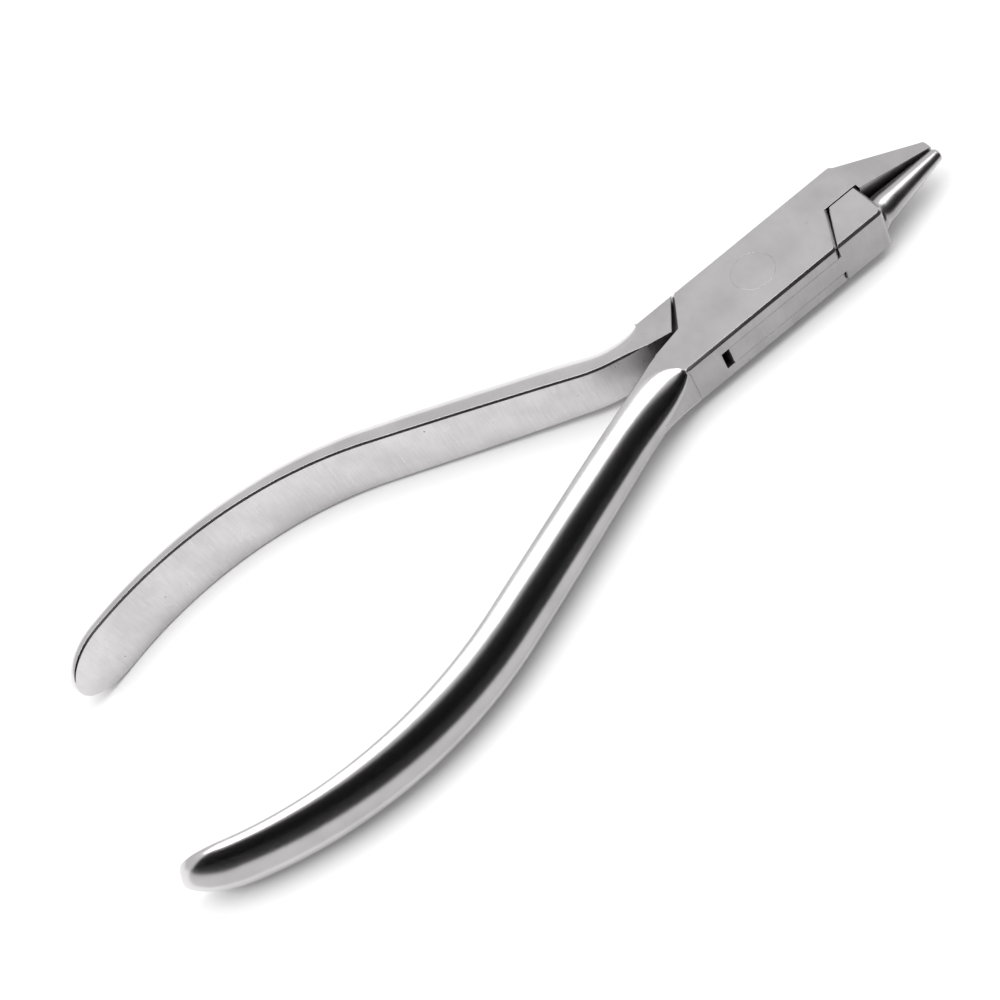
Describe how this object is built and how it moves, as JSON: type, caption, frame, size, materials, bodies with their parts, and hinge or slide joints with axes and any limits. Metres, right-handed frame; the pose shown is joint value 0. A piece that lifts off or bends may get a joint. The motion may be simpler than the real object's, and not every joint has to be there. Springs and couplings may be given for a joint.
{
  "type": "box-joint forming pliers",
  "caption": "Plain stainless box-joint pliers with one conical and one flat tapered jaw and two long bowed D-section handles.",
  "frame": {"origin": "on the pivot rivet's axis, in the plane of the box joint's lower face", "axes": "+X along the box joint towards the jaws, +Y towards the handle of the tongue half, +Z along the rivet's axis"},
  "size_m": [0.1307, 0.0505, 0.0106],
  "materials": {
    "box_half_steel": "satin ground flats, polished handle outside",
    "tongue_half_steel": "satin ground flats, polished handle outside",
    "rivet_steel": "ground flush with the joint"
  },
  "bodies": {
    "box_body": {"box_half": "box_half_steel", "pivot_rivet": "rivet_steel"},
    "tongue_body": {"tongue_half": "tongue_half_steel"}
  },
  "joints": [
    {"name": "pliers_pivot", "type": "hinge", "parent": "box_body", "child": "tongue_body", "pos_m": [0, 0, 0], "axis": [0, 0, -1], "range_deg": [0, 30]}
  ]
}
